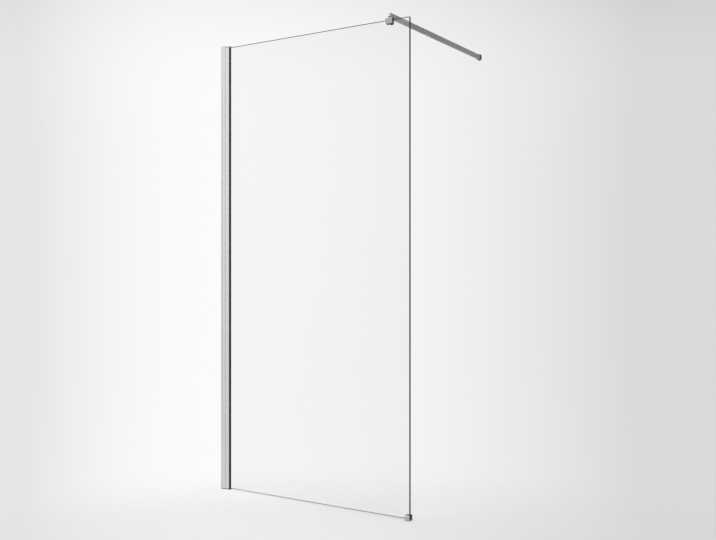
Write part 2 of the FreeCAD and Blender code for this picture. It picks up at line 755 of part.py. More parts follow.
def build_bracket_lock_screw():
    """Set screw in the bracket's side that presses on the bar, turned to the wall channel."""
    along = f"{BRACKET_FRONT} + bracket_lock_inset"
    point = (f"{ARM_X} - {SLOT_HALF}", along, f"{AT_BAR[2]} + bar_height / 2")
    screw = set_screw(point, X_AXIS, -1, "bracket_lock_radius", "bracket_side", "key_radius")
    keep(screw, "bracket_lock_screw")


def build_foot_block():
    """Block with a slot for the glass, two floor-screw holes and two set-screw holes."""
    body = new_body("foot_block", (FOOT_START, "0", "0"))
    section = new_sketch(body, "YZ")
    half = "foot_width / 2"
    add_outline(section, [
        (f"-{half}", "foot_pad_thick"),
        (half, "foot_pad_thick"),
        (half, "foot_height"),
        (SEAT_HALF, "foot_height"),
        (SEAT_HALF, FOOT_SLOT_FLOOR),
        (f"-{SEAT_HALF}", FOOT_SLOT_FLOOR),
        (f"-{SEAT_HALF}", "foot_height"),
        (f"-{half}", "foot_height"),
    ])
    block = pad(body, section, "foot_length")
    edges = corner_edges(block.Shape, X_AXIS) + corner_edges(block.Shape, Z_AXIS)
    fillet(body, edges, "foot_round")
    floor_holes = new_sketch(body, "XY")
    add_pair(floor_holes, ("foot_length / 2", "0"), "foot_hole_pitch", "foot_hole_radius")
    drilled = pocket(body, floor_holes, 1)
    chamfer(body, rim_edges(drilled.Shape, Z_AXIS, value(FOOT_SLOT_FLOOR)), "countersink")
    lock_holes = new_sketch(body, "XZ")
    wide = "(foot_lock_radius + fit_gap)"
    add_pair(lock_holes, ("foot_length / 2", "foot_lock_rise"), "foot_hole_pitch", wide)
    pocket(body, lock_holes, 1)


def build_foot_liner():
    """Soft U under the bottom edge of the glass, inside the foot."""
    body = new_body("foot_liner", (FOOT_START, "0", "0"))
    section = new_sketch(body, "YZ")
    floor = f"({FOOT_SLOT_FLOOR} + liner_thick)"
    top = "foot_height + liner_show"
    add_outline(section, [
        (f"-{SEAT_HALF}", FOOT_SLOT_FLOOR),
        (SEAT_HALF, FOOT_SLOT_FLOOR),
        (SEAT_HALF, top),
        (GRIP_HALF, top),
        (GRIP_HALF, floor),
        (f"-{GRIP_HALF}", floor),
        (f"-{GRIP_HALF}", top),
        (f"-{SEAT_HALF}", top),
    ])
    pad(body, section, "foot_length")


def build_foot_lock_screws():
    """Two set screws in the foot that press on the liner."""
    screws = []
    for side in ("-", "+"):
        along = f"{FOOT_START} + foot_length / 2 {side} foot_hole_pitch / 2"
        point = (along, SEAT_HALF, "foot_lock_rise")
        screws.append(set_screw(point, Y_AXIS, 1, "foot_lock_radius", "foot_lock_length", "key_radius"))
    group("foot_lock_screws", screws)


def build_foot_pad():
    """Thin pad between the foot and the floor, with two clear holes."""
    body = new_body("foot_pad", (FOOT_START, "0", "0"))
    section = new_sketch(body, "XY")
    half = "(foot_width / 2 - foot_pad_inset)"
    add_rectangle(section, ("foot_pad_inset", f"-{half}"), ("foot_length - foot_pad_inset", half))
    sheet_pad = pad(body, section, "foot_pad_thick")
    fillet(body, corner_edges(sheet_pad.Shape, Z_AXIS), "foot_round")
    holes = new_sketch(body, "XY")
    wide = "(foot_hole_radius + lock_clear)"
    add_pair(holes, ("foot_length / 2", "0"), "foot_hole_pitch", wide)
    pocket(body, holes, 1)


def check():
    """Stop if any object failed, any cut removed nothing, or any piece isn't a sound solid."""
    doc.recompute()
    for item in doc.Objects:
        if {"Invalid", "Error"} & set(item.State):
            raise RuntimeError(f"{item.Label} failed: {item.State}")
        if item.TypeId == "PartDesign::Pocket" and item.Shape.Volume >= item.BaseFeature.Shape.Volume:
            raise RuntimeError(f"{item.Label} cuts nothing")
    for item in nodes:
        if item.Shape.isNull() or not item.Shape.isValid() or not item.Shape.Solids:
            raise RuntimeError(f"{item.Label} isn't a sound solid")


def write():
    """Write each piece to its own file."""
    os.makedirs("parts", exist_ok=True)
    for item in nodes:
        item.Shape.exportStep(f"parts/{item.Label}.step")
        print(f"{item.Label}: {len(item.Shape.Solids)} solids, {item.Shape.Volume:.1f} mm3")


build_wall_channel()
build_channel_cap()
build_base_seal("channel_base_seal", "0", "channel_depth", "channel_width / 2")
build_lock_sets()
build_glass_profile()
build_profile_cap()
build_base_seal(
    "profile_base_seal",
    "channel_depth + travel_in + slide_gap",
    f"{PROFILE_MOUTH} + gasket_flange",
    PROFILE_HALF,
)
build_glass_panel()
build_gasket("front_gasket", -1)
build_gasket("rear_gasket", 1)
build_edge_strip()
build_setting_block()
build_clamp_front_jaw()
build_clamp_rear_jaw()
build_clamp_liner()
build_jaw_screw("front_jaw_screw", FRONT_MIDDLE)
build_jaw_screw("rear_jaw_screw", REAR_MIDDLE)
build_bar_buffer()
build_support_bar()
build_bar_end_plug()
build_wall_bracket()
build_bracket_seal()
build_bracket_lock_screw()
build_foot_block()
build_foot_liner()
build_foot_lock_screws()
build_foot_pad()
check()
write()
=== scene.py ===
"""Looks of a walk-in shower screen: its finishes, its detailed pieces, the studio and the camera."""
import logging
import math
from abc import ABC, abstractmethod
from collections.abc import Sequence
from dataclasses import dataclass, field
from enum import Enum
from functools import cache

import bmesh
import bpy
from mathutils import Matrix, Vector


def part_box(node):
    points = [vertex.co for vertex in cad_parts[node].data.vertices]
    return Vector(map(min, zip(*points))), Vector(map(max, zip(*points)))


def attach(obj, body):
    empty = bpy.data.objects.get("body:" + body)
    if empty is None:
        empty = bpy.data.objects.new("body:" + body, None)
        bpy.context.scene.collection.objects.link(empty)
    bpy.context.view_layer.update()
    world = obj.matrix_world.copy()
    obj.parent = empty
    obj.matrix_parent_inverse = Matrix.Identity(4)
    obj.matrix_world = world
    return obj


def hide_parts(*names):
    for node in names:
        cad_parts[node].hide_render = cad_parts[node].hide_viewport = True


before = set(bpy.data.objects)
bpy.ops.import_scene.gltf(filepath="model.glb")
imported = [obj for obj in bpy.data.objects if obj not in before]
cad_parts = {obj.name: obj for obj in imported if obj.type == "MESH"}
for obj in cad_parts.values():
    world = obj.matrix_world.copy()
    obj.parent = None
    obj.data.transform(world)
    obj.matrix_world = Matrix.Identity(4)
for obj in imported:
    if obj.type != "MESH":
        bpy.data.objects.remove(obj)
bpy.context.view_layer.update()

LOG = logging.getLogger("shower_screen")
MM = 0.001

Colour = tuple[float, float, float]
Triple = tuple[float, float, float]
WHITE = (1.0, 1.0, 1.0, 1.0)


class Axis(Enum):
    """The frame's three directions, by their place in a vector."""

    X = 0
    Y = 1
    Z = 2

    @property
    def unit(self) -> Vector:
        """A vector of length one along this direction."""
        return Vector([float(index == self.value) for index in range(3)])


class Side(Enum):
    """The two sides of the glass, by the word that their nodes' names start with."""

    FRONT = "front"
    REAR = "rear"


class Body(Enum):
    """The rigid bodies that the pieces ride on."""

    WALL_SIDE = "wall_side"
    GLASS_UNIT = "glass_unit"
    SUPPORT_ARM = "support_arm"
    BRACKET_UNIT = "bracket_unit"
    FLOOR_GUIDE = "floor_guide"


class Slot(Enum):
    """The record's material slots that the new pieces would take; nothing here uses them."""

    GLASS = "clear_glass"
    SEAL = "black_seal"
    CAP = "cap_plastic"
    SCREW = "stainless_screw"


class RingShape(Enum):
    """How a ring of a turned piece runs round its axis."""

    ROUND = "round"
    HEXAGON = "hexagon"
    KNURL = "knurl"
    THREAD = "thread"


def even(value: float) -> Triple:
    """The same value three times, as a length along each axis or as a grey."""
    return (value, value, value)


def add_object(name: str, data: bpy.types.ID) -> bpy.types.Object:
    """Put a mesh, lamp or camera in the scene.

    Args:
        name: the new object's name.
        data: the mesh, lamp or camera.

    Returns:
        The new object.
    """
    added = bpy.data.objects.new(name, data)
    bpy.context.scene.collection.objects.link(added)
    return added


def to_mesh(form: bmesh.types.BMesh, name: str) -> bpy.types.Mesh:
    """Turn a form into a mesh, and free the form.

    Args:
        form: the form.
        name: the mesh's name.

    Returns:
        The mesh.
    """
    mesh = bpy.data.meshes.new(name)
    form.to_mesh(mesh)
    form.free()
    return mesh


# Shader nodes


class Shader:
    """A new material's nodes, with short ways to add and join them."""

    # Nearly all of the noise lies between these two values
    NOISE_LOW = 0.3
    NOISE_HIGH = 0.7

    def __init__(self, name: str) -> None:
        """Start a material that has one plain surface.

        Args:
            name: the material's name.
        """
        self.material = bpy.data.materials.new(name)
        self.material.use_nodes = True
        self.tree = self.material.node_tree
        self.surface = self.tree.nodes["Principled BSDF"]
        self.output = self.tree.nodes["Material Output"]

    def add(self, kind: str, **inputs: object) -> bpy.types.Node:
        """Add a node.

        Args:
            kind: the node's type.
            inputs: a value for each input named here, with _ for a space.

        Returns:
            The new node.
        """
        node = self.tree.nodes.new(kind)
        for label, value in inputs.items():
            node.inputs[label.replace("_", " ")].default_value = value
        return node

    def join(self, source: bpy.types.NodeSocket, target: bpy.types.NodeSocket) -> None:
        """Link an output to an input."""
        self.tree.links.new(source, target)

    def fix(self, **values: object) -> None:
        """Set values of the surface that are the same all over it, with _ for a space."""
        for label, value in values.items():
            self.surface.inputs[label.replace("_", " ")].default_value = value

    def places(self) -> bpy.types.NodeSocket:
        """The place of each point in the piece's own space, in metres."""
        return self.add("ShaderNodeTexCoord").outputs["Object"]

    def noise(self, size: Triple, detail: float = 2.0) -> bpy.types.NodeSocket:
        """Add noise that follows the piece.

        Args:
            size: the length of one mark along each axis, in metres.
            detail: how many finer layers lie on it.

        Returns:
            The noise's value, from 0 to 1.
        """
        stretch = self.add("ShaderNodeMapping", Scale=[1.0 / length for length in size])
        texture = self.add("ShaderNodeTexNoise", Scale=1.0, Detail=detail)
        self.join(self.places(), stretch.inputs["Vector"])
        self.join(stretch.outputs["Vector"], texture.inputs["Vector"])
        return texture.outputs["Fac"]

    def spread(self, source: bpy.types.NodeSocket, low: float, high: float) -> bpy.types.NodeSocket:
        """Map noise to a range of values.

        Args:
            source: the noise's value.
            low: the value where the noise is low.
            high: the value where the noise is high.

        Returns:
            The mapped value.
        """
        limits = {"From_Min": self.NOISE_LOW, "From_Max": self.NOISE_HIGH}
        node = self.add("ShaderNodeMapRange", To_Min=low, To_Max=high, **limits)
        self.join(source, node.inputs["Value"])
        return node.outputs["Result"]

    def shade(self, source: bpy.types.NodeSocket, colour: Colour, depth: float) -> None:
        """Colour the surface, darker where the noise is low.

        Args:
            source: the noise's value.
            colour: the surface's own colour.
            depth: how much darker the darkest marks are, as a share.
        """
        ramp = self.add("ShaderNodeValToRGB")
        dark, light = ramp.color_ramp.elements
        dark.position, light.position = self.NOISE_LOW, self.NOISE_HIGH
        dark.color = [channel * (1.0 - depth) for channel in colour] + [1.0]
        light.color = [*colour, 1.0]
        self.join(source, ramp.inputs["Fac"])
        self.join(ramp.outputs["Color"], self.surface.inputs["Base Color"])

    def roughen(self, source: bpy.types.NodeSocket, low: float, high: float) -> None:
        """Vary the roughness of the surface with the noise, from low to high."""
        self.join(self.spread(source, low, high), self.surface.inputs["Roughness"])

    def emboss(self, source: bpy.types.NodeSocket, depth: float) -> None:
        """Raise the surface with the noise.

        Args:
            source: the noise's value.
            depth: how far it is raised, in metres.
        """
        bump = self.add("ShaderNodeBump", Strength=1.0, Distance=depth)
        self.join(source, bump.inputs["Height"])
        self.join(bump.outputs["Normal"], self.surface.inputs["Normal"])

    def choose(
        self, share: bpy.types.NodeSocket, first: bpy.types.NodeSocket, second: bpy.types.NodeSocket,
    ) -> None:
        """Show a mix of two surfaces.

        Args:
            share: how much of the second one shows, from 0 to 1.
            first: the first surface.
            second: the second surface.
        """
        either = self.add("ShaderNodeMixShader")
        self.join(share, either.inputs["Fac"])
        self.join(first, either.inputs[1])
        self.join(second, either.inputs[2])
        self.join(either.outputs["Shader"], self.output.inputs["Surface"])


# Finishes


@dataclass(frozen=True)
class Finish(ABC):
    """A surface finish with a name of its own."""

    name: str

    @cache
    def material(self) -> bpy.types.Material:
        """Make the finish's material, once.

        Returns:
            The material.
        """
        shader = Shader(self.name)
        self.paint(shader)
        return shader.material

    @abstractmethod
    def paint(self, shader: Shader) -> None:
        """Set up the material's nodes."""


@dataclass(frozen=True)
class Metal(Finish):
    """Bare or plated metal with drawn, brushed or polished marks.

    Attributes:
        colour: the colour of its reflection.
        roughness: the lowest and the highest roughness.
        marks: the length of one mark along each axis, in metres.
        contrast: how much darker the darkest marks are.
        relief: the depth of the marks, in metres.
        haze: the width of the soft blotches of polish, in metres.
    """

    MARK_LAYERS = 3.0

    colour: Colour
    roughness: tuple[float, float]
    marks: Triple
    contrast: float
    relief: float
    haze: float

    def paint(self, shader: Shader) -> None:
        """Set up the marks in colour and relief, and the haze in roughness.

        Args:
            shader: the new material's nodes.
        """
        shader.fix(Metallic=1.0)
        marks = shader.noise(self.marks, self.MARK_LAYERS)
        haze = shader.noise(even(self.haze))
        both = shader.add("ShaderNodeMix")
        shader.join(marks, both.inputs["A"])
        shader.join(haze, both.inputs["B"])
        shader.shade(marks, self.colour, self.contrast)
        shader.roughen(both.outputs["Result"], *self.roughness)
        shader.emboss(marks, self.relief)


@dataclass(frozen=True)
class Moulded(Finish):
    """Moulded plastic, extruded rubber or a worked glass edge, with a fine skin.

    Attributes:
        colour: its own colour, except on the polished glass edge, where it is painted shade in near black.
        roughness: the lowest and the highest roughness.
        grain: the length of one mark of its skin along each axis, in metres.
        contrast: how much darker the darkest marks are.
        relief: the depth of the skin's marks, in metres.
        shine: its specular level.
    """

    GRAIN_LAYERS = 4.0

    colour: Colour
    roughness: tuple[float, float]
    grain: Triple
    contrast: float
    relief: float
    shine: float = 0.5

    def paint(self, shader: Shader) -> None:
        """Set up the skin in colour, roughness and relief.

        Args:
            shader: the new material's nodes.
        """
        shader.fix(Specular_IOR_Level=self.shine)
        grain = shader.noise(self.grain, self.GRAIN_LAYERS)
        shader.shade(grain, self.colour, self.contrast)
        shader.roughen(grain, *self.roughness)
        shader.emboss(grain, self.relief)


@dataclass(frozen=True)
class ClearGlass(Finish):
    """Toughened clear glass with the faint wave that the rollers leave.

    Attributes:
        tint: what it lets through, by colour.
        bend: its index of refraction.
        wave: the length of the rollers' wave along each axis, in metres.
        wave_depth: the depth of that wave, in metres.
    """

    WAVE_LAYERS = 0.0

    tint: Colour
    bend: float
    wave: Triple
    wave_depth: float

    def paint(self, shader: Shader) -> None:
        """Set up the glass and its faint wave, and let lamps shine through it.

        Args:
            shader: the new material's nodes.
        """
        shader.fix(Base_Color=[*self.tint, 1.0], Roughness=0.0, IOR=self.bend, Transmission_Weight=1.0)
        shader.emboss(shader.noise(self.wave, self.WAVE_LAYERS), self.wave_depth)
        path = shader.add("ShaderNodeLightPath").outputs
        clear = shader.add("ShaderNodeBsdfTransparent", Color=[*self.tint, 1.0])
        shader.choose(path["Is Shadow Ray"], shader.surface.outputs["BSDF"], clear.outputs["BSDF"])


@dataclass(frozen=True)
class Ground(Finish):
    """A pale studio floor that fades out round the object.

    Attributes:
        colour: its own colour.
        roughness: its roughness.
        shine: its specular level.
        contrast: how much darker its darkest blotches are.
        cloud: the width of those blotches, in metres.
        cover: how much of what lies behind it the floor's middle hides, as a share.
        fade: where the fade starts and ends, as distances from the floor's middle in metres.
        ragged: how far a fine speckle shifts the fade in and out, in metres.
        speckle: the width of that speckle, in metres.
    """

    colour: Colour
    roughness: float
    shine: float
    contrast: float
    cloud: float
    cover: float
    fade: tuple[float, float]
    ragged: float
    speckle: float

    def paint(self, shader: Shader) -> None:
        """Set up the floor's colour and its fade.

        Args:
            shader: the new material's nodes.
        """
        shader.fix(Roughness=self.roughness, Specular_IOR_Level=self.shine)
        shader.shade(shader.noise(even(self.cloud)), self.colour, self.contrast)
        start, end = self.fade
        away = shader.add("ShaderNodeVectorMath")
        away.operation = "LENGTH"
        grain = shader.noise(even(self.speckle))
        shifted = shader.add("ShaderNodeMath")
        fade = shader.add("ShaderNodeMapRange", From_Min=start, From_Max=end, To_Min=1.0 - self.cover)
        fade.interpolation_type = "SMOOTHERSTEP"
        clear = shader.add("ShaderNodeBsdfTransparent")
        shader.join(shader.places(), away.inputs[0])
        shader.join(away.outputs["Value"], shifted.inputs[0])
        shader.join(shader.spread(grain, -self.ragged, self.ragged), shifted.inputs[1])
        shader.join(shifted.outputs["Value"], fade.inputs["Value"])
        shader.choose(fade.outputs["Result"], shader.surface.outputs["BSDF"], clear.outputs["BSDF"])


BRIGHT_ALUMINIUM = Metal(
    "bright_aluminium_finish",
    colour=(0.91, 0.912, 0.915),
    roughness=(0.16, 0.30),
    marks=(0.5 * MM, 0.5 * MM, 600 * MM),
    contrast=0.06,
    relief=0.004 * MM,
    haze=40 * MM,
)
POLISHED_CHROME = Metal(
    "polished_chrome_finish",
    colour=(0.55, 0.556, 0.554),
    roughness=(0.05, 0.14),
    marks=even(0.6 * MM),
    contrast=0.05,
    relief=0.002 * MM,
    haze=8 * MM,
)
SATIN_BAR = Metal(
    "satin_bar_finish",
    colour=(0.58, 0.58, 0.59),
    roughness=(0.30, 0.44),
    marks=(0.35 * MM, 45 * MM, 0.35 * MM),
    contrast=0.06,
    relief=0.006 * MM,
    haze=30 * MM,
)
STAINLESS_SCREW = Metal(
    "stainless_screw_finish",
    colour=(0.55, 0.55, 0.54),
    roughness=(0.22, 0.42),
    marks=even(0.3 * MM),
    contrast=0.14,
    relief=0.004 * MM,
    haze=2 * MM,
)
BLACK_RUBBER = Moulded(
    "black_rubber_finish",
    colour=(0.03, 0.03, 0.03),
    roughness=(0.48, 0.72),
    grain=(0.4 * MM, 0.4 * MM, 25 * MM),
    contrast=0.15,
    relief=0.008 * MM,
    shine=0.2,
)
SOFT_LINER = Moulded(
    "soft_liner_finish",
    colour=(0.035, 0.035, 0.037),
    roughness=(0.45, 0.65),
    grain=even(0.5 * MM),
    contrast=0.18,
    relief=0.015 * MM,
    shine=0.4,
)
CAP_PLASTIC = Moulded(
    "cap_plastic_finish",
    colour=(0.42, 0.42, 0.43),
    roughness=(0.22, 0.36),
    grain=even(0.35 * MM),
    contrast=0.12,
    relief=0.008 * MM,
)
GREY_PLUG = Moulded(
    "grey_plug_finish",
    colour=(0.66, 0.66, 0.665),
    roughness=(0.40, 0.62),
    grain=even(0.4 * MM),
    contrast=0.08,
    relief=0.01 * MM,
)
# Painted shade: the polished edge is clear glass, but it gets an opaque near-black colour that stands in for
# the dark look that light gives it
PAINTED_DARK_GLASS_EDGE = Moulded(
    "polished_glass_edge_painted_dark_finish",
    colour=(0.010, 0.016, 0.014),
    roughness=(0.10, 0.24),
    grain=(3 * MM, 0.5 * MM, 60 * MM),
    contrast=0.20,
    relief=0.002 * MM,
    shine=0.2,
)
GROUND_EDGE = Moulded(
    "ground_glass_edge_finish",
    colour=(0.50, 0.54, 0.52),
    roughness=(0.50, 0.70),
    grain=even(0.3 * MM),
    contrast=0.20,
    relief=0.004 * MM,
    shine=0.3,
)
CLEAR_GLASS = ClearGlass(
    "clear_glass_finish",
    tint=(0.955, 0.963, 0.960),
    bend=1.52,
    wave=(900 * MM, 100 * MM, 280 * MM),
    wave_depth=0.03 * MM,
)


# Geometry trees


class PieceTree:
    """A geometry tree with named inputs that makes one piece."""

    MATERIAL = "Finish"

    def __init__(self, name: str, inputs: dict[str, str]) -> None:
        """Start the tree.

        Args:
            name: the tree's name.
            inputs: the socket type of each named input.
        """
        self.group = bpy.data.node_groups.new(name, "GeometryNodeTree")
        sockets = {"Geometry": "NodeSocketGeometry", **inputs, self.MATERIAL: "NodeSocketMaterial"}
        for label, kind in sockets.items():
            self.group.interface.new_socket(label, in_out="INPUT", socket_type=kind)
        self.group.interface.new_socket("Geometry", in_out="OUTPUT", socket_type="NodeSocketGeometry")
        self.given = self.add("NodeGroupInput").outputs

    def add(self, kind: str) -> bpy.types.Node:
        """Add a node of the given type."""
        return self.group.nodes.new(kind)

    def join(self, source: bpy.types.NodeSocket, target: bpy.types.NodeSocket) -> None:
        """Link an output to an input."""
        self.group.links.new(source, target)

    def end(self, geometry: bpy.types.NodeSocket) -> None:
        """Make real meshes of the geometry, give them their finish and hand them out.

        Args:
            geometry: the geometry that the tree has made.
        """
        real = self.add("GeometryNodeRealizeInstances")
        finish = self.add("GeometryNodeSetMaterial")
        result = self.add("NodeGroupOutput")
        self.join(geometry, real.inputs["Geometry"])
        self.join(real.outputs["Geometry"], finish.inputs["Geometry"])
        self.join(self.given[self.MATERIAL], finish.inputs["Material"])
        self.join(finish.outputs["Geometry"], result.inputs["Geometry"])

    def make(self, name: str, start: bpy.types.Mesh, finish: Finish, **values: object) -> bpy.types.Mesh:
        """Run the tree.

        Args:
            name: the new mesh's name.
            start: the mesh that the tree starts from.
            finish: the finish of the result.
            values: a value for each named input, with _ for a space.

        Returns:
            The result as a plain mesh.
        """
        carrier = add_object(f"{name}_carrier", start)
        modifier = carrier.modifiers.new(name, "NODES")
        modifier.node_group = self.group
        given = {label.replace("_", " "): value for label, value in values.items()}
        given[self.MATERIAL] = finish.material()
        for item in self.group.interface.items_tree:
            if item.in_out == "INPUT" and item.name in given:
                modifier[item.identifier] = given[item.name]
        evaluated = carrier.evaluated_get(bpy.context.evaluated_depsgraph_get())
        mesh = bpy.data.meshes.new_from_object(evaluated)
        mesh.name = name
        bpy.data.objects.remove(carrier)
        return mesh


@cache
def row_tree() -> PieceTree:
    """Make the tree that repeats a mesh along a straight row.

    Returns:
        The tree. Its inputs are Count, First and Step.
    """
    tree = PieceTree("row_of_pieces", {
        "Count": "NodeSocketInt",
        "First": "NodeSocketVector",
        "Step": "NodeSocketVector",
    })
    row = tree.add("GeometryNodeMeshLine")
    copies = tree.add("GeometryNodeInstanceOnPoints")
    tree.join(tree.given["Count"], row.inputs["Count"])
    tree.join(tree.given["First"], row.inputs["Start Location"])
    tree.join(tree.given["Step"], row.inputs["Offset"])
    tree.join(row.outputs["Mesh"], copies.inputs["Points"])
    tree.join(tree.given["Geometry"], copies.inputs["Instance"])
    tree.end(copies.outputs["Instances"])
    return tree


@cache
def strip_tree() -> PieceTree:
    """Make the tree that draws a section out into a straight strip.

    Returns:
        The tree. Its inputs are From and To, and it starts from the section's outline in X and Y.
    """
    tree = PieceTree("drawn_strip", {"From": "NodeSocketVector", "To": "NodeSocketVector"})
    section = tree.add("GeometryNodeMeshToCurve")
    path = tree.add("GeometryNodeCurvePrimitiveLine")
    strip = tree.add("GeometryNodeCurveToMesh")
    strip.inputs["Fill Caps"].default_value = True
    tree.join(tree.given["Geometry"], section.inputs["Mesh"])
    tree.join(tree.given["From"], path.inputs["Start"])
    tree.join(tree.given["To"], path.inputs["End"])
    tree.join(path.outputs["Curve"], strip.inputs["Curve"])
    tree.join(section.outputs["Curve"], strip.inputs["Profile Curve"])
    tree.end(strip.outputs["Mesh"])
    return tree


# Meshes


def arc(centre: Sequence[float], radius: float, start: float, end: float, steps: int) -> list[Vector]:
    """Points on an arc.

    Args:
        centre: the arc's middle.
        radius: its radius.
        start: the angle of its first point, in degrees.
        end: the angle of its last point, in degrees.
        steps: how many straight steps it has.

    Returns:
        The points, both ends included.
    """
    angles = [math.radians(start + (end - start) * step / steps) for step in range(steps + 1)]
    return [Vector(centre) + radius * Vector((math.cos(angle), math.sin(angle))) for angle in angles]


def smooth(mesh: bpy.types.Mesh, sharp_angle: float = 32.0) -> bpy.types.Mesh:
    """Shade a mesh smooth, with its sharper edges kept sharp.

    Args:
        mesh: the mesh.
        sharp_angle: the angle past which an edge stays sharp, in degrees.

    Returns:
        The same mesh.
    """
    mesh.shade_smooth()
    mesh.set_sharp_from_angle(angle=math.radians(sharp_angle))
    return mesh


@dataclass(frozen=True)
class Ring:
    """One ring of a turned piece: its height on the axis, its radius and how it runs round."""

    height: float
    radius: float
    shape: RingShape = RingShape.ROUND


@dataclass(frozen=True)
class Turning:
    """A closed mesh of rings round an axis, from a first point on the axis to a last one.

    Attributes:
        rings: the rings, in order.
        first: the height of the point that closes the start.
        last: the height of the point that closes the end.
        segments: how many points each ring has.
        pitch: the pitch of a thread.
        depth: the depth of a thread or knurl.
        ridges: how many ridges a knurl has.
    """

    HEXAGON_SIDES = 6

    rings: Sequence[Ring]
    first: float
    last: float
    segments: int = 48
    pitch: float = 0.5 * MM
    depth: float = 0.25 * MM
    ridges: int = 24

    def radius_at(self, ring: Ring, turn: float) -> float:
        """Work out a ring's radius.

        Args:
            ring: the ring.
            turn: how far round it, from 0 to 1.

        Returns:
            The radius there.
        """
        if ring.shape is RingShape.HEXAGON:
            side = 1.0 / self.HEXAGON_SIDES
            off_middle = (turn % side - side / 2.0) * math.tau
            return ring.radius * math.cos(math.pi * side) / math.cos(off_middle)
        if ring.shape is RingShape.KNURL:
            in_groove = round(turn * 2 * self.ridges) % 2
            return ring.radius - self.depth * in_groove
        if ring.shape is RingShape.THREAD:
            wave = math.cos((ring.height / self.pitch - turn) * math.tau)
            return ring.radius - self.depth * (1.0 - wave) / 2.0
        return ring.radius

    def mesh(self, name: str, out: Vector) -> bpy.types.Mesh:
        """Make the mesh.

        Args:
            name: its name.
            out: the direction that its heights grow in.

        Returns:
            The closed mesh, with its faces outwards.
        """
        form = bmesh.new()
        loops = []
        for ring in self.rings:
            loop = []
            for index in range(self.segments):
                turn = index / self.segments
                radius = self.radius_at(ring, turn)
                angle = turn * math.tau
                point = (radius * math.cos(angle), radius * math.sin(angle), ring.height)
                loop.append(form.verts.new(point))
            loops.append(loop)
        start = form.verts.new((0.0, 0.0, self.first))
        end = form.verts.new((0.0, 0.0, self.last))
        for index in range(self.segments):
            beside = (index + 1) % self.segments
            form.faces.new((start, loops[0][beside], loops[0][index]))
            form.faces.new((end, loops[-1][index], loops[-1][beside]))
            for low, high in zip(loops, loops[1:]):
                form.faces.new((low[index], low[beside], high[beside], high[index]))
        form.transform(out.to_track_quat("Z", "Y").to_matrix().to_4x4())
        bmesh.ops.recalc_face_normals(form, faces=form.faces)
        return smooth(to_mesh(form, name))


class RoundPiece(ABC):
    """A small turned piece that stands in a row of its kind.

    Attributes:
        zero_is_outer: true if its height 0 is at its outer end, false if it is at its inner one.
    """

    zero_is_outer: bool

    @property
    @abstractmethod
    def widest(self) -> float:
        """Its largest radius."""

    @abstractmethod
    def mesh(self, name: str, out: Vector) -> bpy.types.Mesh:
        """Make the piece at the origin, with its outer end facing a direction."""


@dataclass(frozen=True)
class Screw(RoundPiece):
    """A hexagon-socket screw, with or without a head. Its socket's end is at height 0.

    Attributes:
        radius: its thread's outer radius.
        length: its whole length.
        key: the socket's radius to its corners.
        key_depth: the socket's depth.
        pitch: the thread's pitch.
        head_radius: the head's radius, or 0 for a set screw.
        head_height: the head's height.
        edge: the width of its chamfers.
        tip_share: the radius of its flat tip, as a share of the thread's.
        cone_share: the depth of the drill's cone under the socket, as a share of the key's radius.
        thread_share: the depth of the thread, as a share of its pitch.
        rings_per_turn: how many rings one turn of the thread has.
    """

    zero_is_outer = True

    radius: float
    length: float
    key: float
    key_depth: float
    pitch: float
    head_radius: float = 0.0
    head_height: float = 0.0
    edge: float = 0.3 * MM
    tip_share: float = 0.6
    cone_share: float = 0.4
    thread_share: float = 0.3
    rings_per_turn: int = 6

    @property
    def widest(self) -> float:
        """The radius of the head, or of the thread where there is no head."""
        return max(self.radius, self.head_radius)

    def rings(self) -> list[Ring]:
        """Work out the screw's rings.

        Returns:
            The rings, from its tip to the bottom of its socket.
        """
        thread_end = -self.head_height if self.head_radius else -self.edge
        thread_start = -self.length + self.edge
        step = self.pitch / self.rings_per_turn
        count = int((thread_end - thread_start) / step)
        rings = [Ring(-self.length, self.tip_share * self.radius)]
        rings += [Ring(thread_start + step * index, self.radius, RingShape.THREAD) for index in range(count)]
        outer = self.widest
        if self.head_radius:
            rings += [
                Ring(-self.head_height, self.radius),
                Ring(-self.head_height, outer - self.edge),
                Ring(-self.head_height + self.edge, outer, RingShape.KNURL),
                Ring(-2.0 * self.edge, outer, RingShape.KNURL),
            ]
        return rings + [
            Ring(-self.edge, outer),
            Ring(0.0, outer - self.edge),
            Ring(0.0, self.key + self.edge / 2.0),
            Ring(-self.edge / 2.0, self.key, RingShape.HEXAGON),
            Ring(-self.key_depth, self.key, RingShape.HEXAGON),
        ]

    def mesh(self, name: str, out: Vector) -> bpy.types.Mesh:
        """Make the screw with its socket facing a direction.

        Args:
            name: the mesh's name.
            out: the direction that the socket faces.

        Returns:
            The screw, with its socket's end at the origin.
        """
        cone_bottom = -self.key_depth - self.cone_share * self.key
        depth = self.thread_share * self.pitch
        turning = Turning(self.rings(), -self.length, cone_bottom, pitch=self.pitch, depth=depth)
        return turning.mesh(name, out)


